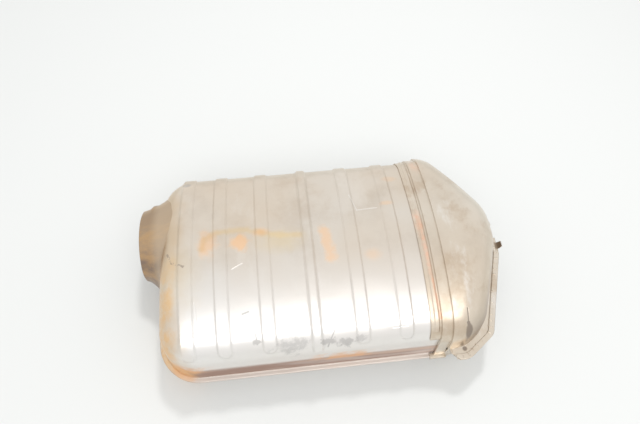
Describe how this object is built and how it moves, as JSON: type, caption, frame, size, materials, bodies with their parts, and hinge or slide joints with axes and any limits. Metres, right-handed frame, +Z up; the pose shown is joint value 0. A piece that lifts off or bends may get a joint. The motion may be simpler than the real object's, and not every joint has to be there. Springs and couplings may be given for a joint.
{
  "type": "muffler",
  "caption": "Used pressed-steel muffler: ribbed clamshell body, flared neck at one end and a crimped two-part cover round the other",
  "frame": {"origin": "middle of the whole part in plan, at the height of the surface that it rests on", "axes": "+X from the inlet neck to the cover, +Y to the back in the picture, +Z up"},
  "size_m": [0.467, 0.2872, 0.138],
  "materials": {
    "shell_steel": "stainless sheet, heat-tinted, with rust stains",
    "cover_steel": "stainless sheet, brown heat tint",
    "tinted_steel": "stainless sheet, straw to brown heat tint",
    "inner_steel": "plain steel tube and sheet, sooted",
    "weld_metal": "rough oxidised weld bead",
    "wool": "packed mineral wool"
  },
  "bodies": {
    "root": {"upper_shell": "shell_steel", "lower_shell": "shell_steel", "inlet_neck": "tinted_steel", "neck_weld": "weld_metal", "cover_upper": "cover_steel", "cover_lower": "cover_steel", "inlet_tube": "inner_steel", "transfer_tube": "inner_steel", "resonator_tube": "inner_steel", "outlet_tube": "inner_steel", "outlet_stub": "inner_steel", "baffle_left": "inner_steel", "baffle_middle": "inner_steel", "baffle_right": "inner_steel", "end_plate": "inner_steel", "wool_packing": "wool"}
  },
  "joints": []
}
